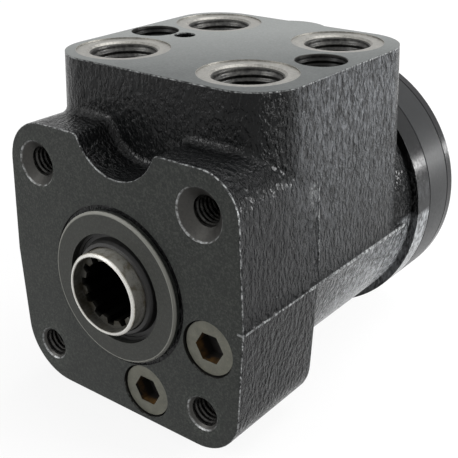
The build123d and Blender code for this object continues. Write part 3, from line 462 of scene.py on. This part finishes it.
def housing_material():
    """Gloss black paint over a bumpy casting, with machined and drilled surfaces left bare."""
    m = Material("cast_housing")
    screws, plugs, shaft, ports, valves = hole_masks(m)
    holes = m.either(screws, plugs, shaft, ports, valves)
    front_face = m.below(m.y, 0.05, 0.04)
    port_face = m.above(m.z, PORT_FACE_Z - 0.08, 0.03)
    in_seat = m.both(ports, m.above(m.z, PORT_FACE_Z - PORT_SEAT_DEPTH))
    bare = m.either(front_face, port_face, holes)
    from_axis = m.radius(m.x, m.z)
    side_x = m.math("ADD", m.x, m.math("MULTIPLY", m.z, SIDE_SLOPE))
    patches = m.noise(0.12, 4.0, 0.6, seed=7.0)
    speckle = m.noise(1.6, 2.0, 0.7, seed=11.0)
    fine = m.noise(0.9, 3.0, 0.6, seed=3.0)

    hole_metal = m.mix(speckle, *HOLE_METAL)
    metal = m.mix(front_face, hole_metal, flange_metal(m, from_axis, patches, speckle))
    flat = m.both(port_face, m.math("SUBTRACT", 1.0, ports))
    metal = m.mix(flat, metal, port_face_metal(m, patches))
    metal = m.mix(in_seat, metal, m.mix(m.ramp(speckle, 0.35, 0.7), *SEAT_METAL))

    rubbed_and_highlit = rubbed_and_highlit_edges(m, from_axis, side_x, m.either(port_face, holes))
    worn_and_highlit = m.both(rubbed_and_highlit, m.ramp(fine, 0.40, 0.62, 0.05, 0.85))
    paint, paint_roughness = housing_paint(m, side_x, fine)
    # the rubbed edges carry edge wear and a painted highlight line
    colour = m.mix(worn_and_highlit, m.mix(bare, paint, metal), RUBBED_HIGHLIGHT_METAL)
    metallic_holes = m.math("MULTIPLY", m.either(holes, in_seat), 0.8)
    is_metal = m.either(metallic_holes, m.math("MULTIPLY", worn_and_highlit, 0.7))
    metal_roughness = m.ramp(speckle, 0.3, 0.7, 0.36, 0.5)
    roughness = m.mix(m.either(bare, worn_and_highlit), paint_roughness, metal_roughness)
    marks = machining_marks(m, from_axis, speckle, front_face, port_face)
    m.bump(m.math("ADD", casting_skin(m, side_x, bare), marks), 1.0)
    return m.finish(colour, roughness, is_metal, IOR=PAINT_IOR)


# ---------------------------------------------------------------- the other materials
def ground_marks(m):
    """Fine grinding marks round the shaft axis, in relief."""
    marks = m.noise(4.0, 2.0, 0.6, stretch=(0.3, 3.0, 0.3), seed=2.0)
    m.bump(marks, 0.02, 0.4)
    return marks


def steel(name, dark, bright, rough):
    """Ground steel with fine marks round the shaft axis."""
    m = Material(name)
    cloud = m.noise(0.15, 3.0)
    return m.finish(m.mix(cloud, dark, bright), m.ramp(ground_marks(m), 0.3, 0.7, *rough), 1.0)


def spool_material():
    """The spool: a bright neck with a brown stain, a painted highlight on its rim and a bore
    painted dark as shade, darkest deep inside.
    """
    m = Material("spool_steel")
    from_axis = m.radius(m.x, m.z)
    marks = ground_marks(m)
    colour = m.mix(m.noise(0.2, 3.0), *SPOOL_METAL)
    stain = m.ramp(m.noise(0.3, 5.0, 0.65, seed=9.0), 0.46, 0.62)
    stain = m.both(stain, m.below(m.y, SPOOL_STAIN_END_Y, 0.5))
    colour = m.mix(m.math("MULTIPLY", stain, 0.8), colour, SPOOL_STAIN)
    inside = m.below(from_axis, SPOOL_BORE_R, 0.08)
    deep = m.ramp(m.y, *SPOOL_DEEP_Y)
    # painted shade in the bore, darkest deep inside
    bore_shade = m.both(inside, m.ramp(deep, 0.0, 1.0, 0.6, 1.0))
    colour = m.mix(bore_shade, colour, SPOOL_BORE_SHADE)
    # painted highlight on the rim
    rim_highlight = m.both(m.below(m.y, SPOOL_RIM_Y, 0.1), m.above(from_axis, SPOOL_RIM_R, 0.1))
    colour = m.mix(rim_highlight, colour, SPOOL_RIM_HIGHLIGHT)
    roughness = m.mix(inside, m.ramp(marks, 0.3, 0.7, 0.24, 0.42), 0.5)
    return m.finish(colour, roughness, m.mix(inside, 0.5, 0.9))


def painted(name, dark, bright, rough=(0.3, 0.42)):
    """A satin or gloss coat with a faint grain, for paint, bolts and the PTFE ring."""
    m = Material(name)
    cloud = m.noise(0.15, 3.0)
    peel = m.noise(1.2, 3.0, 0.55, seed=4.0)
    m.bump(peel, 0.03, 0.6)
    roughness = m.ramp(peel, 0.3, 0.7, *rough)
    return m.finish(m.mix(cloud, dark, bright), roughness, IOR=DISC_PAINT_IOR)


def plug_material():
    """Stained zinc plating, with the hexagon socket painted dark as shade and rust at its bottom.
    """
    m = Material("plug_zinc")
    speckle = m.noise(1.3, 4.0, 0.65, seed=1.0)
    cloud = m.noise(0.35, 4.0, 0.6, seed=6.0)
    colour = m.mix(m.ramp(cloud, 0.35, 0.7), *PLUG_METAL)
    colour = m.mix(m.ramp(speckle, 0.5, 0.8, 0.0, 0.5), colour, PLUG_SPECKLE)
    deep = m.above(m.y, PLUG_FACE_Y, 0.04)
    # painted shade inside the socket
    colour = m.mix(deep, colour, SOCKET_SHADE)
    rust = m.both(deep, m.below(m.y, PLUG_RUST_END_Y, 0.6), m.ramp(cloud, 0.40, 0.62))
    colour = m.mix(rust, colour, SOCKET_RUST)
    m.bump(speckle, 0.05, 0.5)
    return m.finish(colour, m.ramp(speckle, 0.3, 0.7, 0.4, 0.58), m.mix(deep, 0.35, 0.1))


def rubber_material():
    """Dull black rubber with dust in its grain."""
    m = Material("rubber")
    dust = m.noise(0.8, 4.0, 0.6)
    m.bump(m.noise(2.5, 2.0), 0.03, 0.5)
    colour = m.mix(m.ramp(dust, 0.4, 0.7), *RUBBER)
    return m.finish(colour, m.ramp(dust, 0.3, 0.7, 0.42, 0.6))


def thread_material(name, dark, bright):
    """Cut thread, bare or with paint over it."""
    m = Material(name)
    speckle = m.noise(1.0, 3.0, 0.6)
    m.bump(m.noise(5.0, 2.0), 0.02, 0.4)
    colour = m.mix(m.ramp(speckle, 0.35, 0.7), dark, bright)
    return m.finish(colour, m.ramp(speckle, 0.3, 0.7, 0.3, 0.5), 0.8)


def all_materials():
    """One material for each material slot of the record."""
    return {
        "cast_paint": housing_material(),
        "painted_disc": painted("painted_disc", (0.006, 0.0065, 0.007), (0.013, 0.014, 0.015)),
        "black_paint": painted(
            "black_paint", (0.004, 0.004, 0.005), (0.009, 0.009, 0.010), (0.14, 0.26)
        ),
        "ground_steel": spool_material(),
        "bearing_steel": steel("bearing_steel", (0.55, 0.55, 0.56), (0.72, 0.72, 0.72), (0.1, 0.2)),
        "spring_steel": steel("spring_steel", (0.20, 0.21, 0.25), (0.30, 0.31, 0.34), (0.22, 0.36)),
        "bolt_zinc": painted(
            "bolt_paint", (0.008, 0.008, 0.009), (0.018, 0.018, 0.019), (0.22, 0.36)
        ),
        "plug_zinc": plug_material(),
        "washer_metal": painted(
            "washer_paint", (0.010, 0.010, 0.010), (0.022, 0.021, 0.020), (0.25, 0.4)
        ),
        "rubber": rubber_material(),
        "ptfe": painted("ptfe", (0.10, 0.09, 0.08), (0.14, 0.125, 0.11), (0.35, 0.5)),
    }


def dress_nodes(materials):
    """Every carried-over CAD node gets the material of its slot in the record."""
    for node, slot in NODE_SLOTS.items():
        for holder in frame["nodes"][node].material_slots:
            holder.material = materials[slot]


# ---------------------------------------------------------------- pieces
def new_piece(name, vertices, faces, material, body="housing", smooth=True):
    mesh = bpy.data.meshes.new(name)
    mesh.from_pydata([tuple(c * MM for c in v) for v in vertices], [], faces)
    mesh.update()
    for polygon in mesh.polygons:
        polygon.use_smooth = smooth
    mesh.materials.append(material)
    piece = bpy.data.objects.new(name, mesh)
    bpy.context.collection.objects.link(piece)
    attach(piece, body)
    return piece


def thread_points(core_r, height, pitch, length, around=40, steps=6):
    """Rows of a threaded wall: (angle, depth, radius), with the crests standing in."""
    rows = int(length / pitch * steps)
    out = []
    for row in range(rows + 1):
        depth = length * row / rows
        fade = min(1.0, depth / pitch, (length - depth) / pitch)
        ring = []
        for k in range(around):
            turn = k / around
            phase = (depth / pitch - turn) % 1.0
            crest = 1.0 - abs(2.0 * phase - 1.0)
            ring.append((tau * turn, depth, core_r - THREAD_INSET - height * crest * fade))
        out.append(ring)
    return out


def threaded_wall(name, centre, axis, core_r, height, pitch, length, material):
    """An internal thread on the wall of a hole, from its mouth inwards."""
    rows = thread_points(core_r, height, pitch, length)
    count = len(rows[0])
    vertices, faces = [], []
    for ring in rows:
        for angle, depth, radius in ring:
            a, b = radius * cos(angle), radius * sin(angle)
            if axis == "y":
                vertices.append((centre[0] + a, centre[1] + depth, centre[2] + b))
            else:
                vertices.append((centre[0] + a, centre[1] + b, centre[2] - depth))
    for row in range(len(rows) - 1):
        for k in range(count):
            first = row * count + k
            after = row * count + (k + 1) % count
            quad = (first, after, after + count, first + count)
            faces.append(quad[::-1] if axis == "z" else quad)
    return new_piece(name, vertices, faces, material)


def add_casting_ridge(material):
    """The upright ridge that a joint of the mould leaves behind the flange's right side."""
    low, high = RIDGE_SPAN
    swell, swell_rate = RIDGE_SWELL
    vertices = []
    for step in range(RIDGE_STEPS + 1):
        share = step / RIDGE_STEPS
        z = low + (high - low) * share
        taper = min(1.0, RIDGE_TAPER * share, RIDGE_TAPER * (1 - share))
        size = taper * (1.0 + swell * sin(swell_rate * z))
        wander = sum(reach * sin(rate * z + start) for reach, rate, start in RIDGE_WAVES)
        side = HOUSING_SIDE_X - SIDE_SLOPE * abs(z)
        for k in range(RIDGE_ACROSS):
            turn = pi * k / (RIDGE_ACROSS - 1)
            y = RIDGE_Y + wander + RIDGE_HALF * size * cos(turn)
            x = side - RIDGE_ROOT + (RIDGE_ROOT + RIDGE_HEIGHT * size) * sin(turn)
            vertices.append((x, y, z))
    faces = []
    for step in range(RIDGE_STEPS):
        for k in range(RIDGE_ACROSS - 1):
            first = step * RIDGE_ACROSS + k
            faces.append((first, first + 1, first + 1 + RIDGE_ACROSS, first + RIDGE_ACROSS))
    return new_piece("casting_ridge", vertices, faces, material)


def add_top_thread(name, drop, thread, material):
    """The thread of a hole in the port face, whose first turn lies this drop below the face."""
    x, y, _ = mount_place(name)
    core_r = MOUNTS[name]["dims"]["r_mm"]
    mouth = (x, y, PORT_FACE_Z - drop)
    threaded_wall(f"{name}_thread", mouth, "z", core_r, material=material, **thread)


def add_threads():
    bare = thread_material("thread_metal", *THREAD_METAL)
    painted_over = thread_material("thread_painted", *THREAD_PAINTED)
    for number, ((side, up), mouth_r) in enumerate(sorted(SCREW_MOUTHS.items())):
        start = mouth_r - SCREW_CORE_R
        centre = (side * SCREW_OFFSET, start, up * SCREW_OFFSET)
        length = SCREW_HOLE_DEPTH - start - SCREW_THREAD_END
        threaded_wall(
            f"screw_thread_{number}", centre, "y", SCREW_CORE_R,
            length=length, material=bare, **SCREW_THREAD,
        )
    for name in PORT_NAMES:
        add_top_thread(name, PORT_THREAD_DROP, PORT_THREAD, bare)
    for name in VALVE_SCREW_NAMES:
        add_top_thread(name, VALVE_THREAD_DROP, VALVE_THREAD, painted_over)


# ---------------------------------------------------------------- stage
def math_node(tree, operation, first, second):
    """One operation on a socket and a second socket or plain number."""
    node = tree.nodes.new("ShaderNodeMath")
    node.operation = operation
    tree.links.new(first, node.inputs[0])
    if isinstance(second, bpy.types.NodeSocket):
        tree.links.new(second, node.inputs[1])
    else:
        node.inputs[1].default_value = second
    return node.outputs[0]


def level_along(tree, place, direction, levels):
    """A straight, clamped change of level along a direction."""
    toward = tree.nodes.new("ShaderNodeVectorMath")
    toward.operation = "DOT_PRODUCT"
    toward.inputs[1].default_value = direction
    tree.links.new(place, toward.inputs[0])
    level = tree.nodes.new("ShaderNodeMapRange")
    for name, number in levels.items():
        level.inputs[name].default_value = number
    tree.links.new(toward.outputs["Value"], level.inputs["Value"])
    return level.outputs["Result"]


def blend_shaders(tree, share, first, second, output):
    """The second shader over the first by share, as the tree's surface."""
    blend = tree.nodes.new("ShaderNodeMixShader")
    for source, target in zip((share, first, second), blend.inputs):
        tree.links.new(source, target)
    tree.links.new(blend.outputs[0], tree.nodes[output].inputs["Surface"])


def background_rays(tree):
    """1 for the rays that show the plain background: camera, glossy and transmission."""
    path = tree.nodes.new("ShaderNodeLightPath")
    total = path.outputs["Is Camera Ray"]
    for name in ("Is Glossy Ray", "Is Transmission Ray"):
        total = math_node(tree, "MAXIMUM", total, path.outputs[name])
    return total


def floor_material():
    """Near white to the background rays with the shadow kept; to other rays painted shade darkens
    it in front, and behind it is paler and glows as painted light.
    """
    material = bpy.data.materials.new("floor")
    material.use_nodes = True
    tree = material.node_tree
    shader = tree.nodes["Principled BSDF"]
    shader.inputs["Roughness"].default_value = 0.9
    shader.inputs["Specular IOR Level"].default_value = 0.0
    shader.inputs["Emission Color"].default_value = WHITE
    place = tree.nodes.new("ShaderNodeTexCoord").outputs["Object"]
    # painted shade in front and painted glow behind
    level = level_along(tree, place, Vector(FLOOR_BACKWARD), FLOOR_PAINTED_LIGHT)
    rays = background_rays(tree)
    colour = math_node(tree, "MAXIMUM", level, rays)
    tree.links.new(colour, shader.inputs["Base Color"])
    painted_glow = math_node(tree, "MULTIPLY", level, FLOOR_PAINTED_GLOW)
    tree.links.new(painted_glow, shader.inputs["Emission Strength"])
    glow = tree.nodes.new("ShaderNodeEmission")
    glow.inputs["Strength"].default_value = 1.0
    share = math_node(tree, "MULTIPLY", rays, FLOOR_WHITE_SHARE)
    blend_shaders(tree, share, shader.outputs[0], glow.outputs[0], "Material Output")
    return material


def add_floor():
    mesh = bpy.data.meshes.new("floor")
    sides = ((-1, -1), (1, -1), (1, 1), (-1, 1))
    corners = [(a * FLOOR_HALF, b * FLOOR_HALF, FLOOR_Z - FLOOR_DROP) for a, b in sides]
    mesh.from_pydata(corners, [], [(0, 1, 2, 3)])
    mesh.materials.append(floor_material())
    floor = bpy.data.objects.new("floor", mesh)
    bpy.context.collection.objects.link(floor)


def add_world():
    """White to the background rays; to other rays a dark room, bright behind and to the right."""
    world = bpy.data.worlds.new("studio")
    bpy.context.scene.world = world
    world.use_nodes = True
    tree = world.node_tree
    room = tree.nodes["Background"]
    room.inputs["Color"].default_value = WHITE
    direction = tree.nodes.new("ShaderNodeTexCoord").outputs["Generated"]
    level = level_along(tree, direction, Vector(BRIGHT_SIDE).normalized(), ROOM_LEVELS)
    tree.links.new(level, room.inputs["Strength"])
    white = tree.nodes.new("ShaderNodeBackground")
    white.inputs["Color"].default_value = WHITE
    white.inputs["Strength"].default_value = 1.0
    rays = background_rays(tree)
    blend_shaders(tree, rays, room.outputs[0], white.outputs[0], "World Output")


def add_lamp(name, at, size, power):
    data = bpy.data.lights.new(name, "AREA")
    data.shape = "RECTANGLE"
    data.size, data.size_y = size
    data.energy = power
    lamp = bpy.data.objects.new(name, data)
    lamp.location = at
    lamp.rotation_euler = (Vector(LAMP_AIM) - Vector(at)).to_track_quat("-Z", "Y").to_euler()
    bpy.context.collection.objects.link(lamp)


def add_lamps():
    for name, (at, size, power) in LAMPS.items():
        add_lamp(name, at, size, power)


def add_camera():
    data = bpy.data.cameras.new("camera")
    data.sensor_width = SENSOR
    data.lens = LENS
    data.clip_start = CLIP_START
    camera = bpy.data.objects.new("camera", data)
    camera.location = CAMERA_AT
    camera.rotation_euler = Euler(
        (radians(90 - CAMERA_ELEVATION), radians(CAMERA_ROLL), radians(CAMERA_AZIMUTH)), "XYZ"
    )
    bpy.context.collection.objects.link(camera)
    bpy.context.scene.camera = camera


# ---------------------------------------------------------------- assembly
bpy.context.scene.view_settings.view_transform = "Standard"
materials = all_materials()
dress_nodes(materials)
add_casting_ridge(materials["cast_paint"])
add_threads()
add_floor()
add_world()
add_lamps()
add_camera()
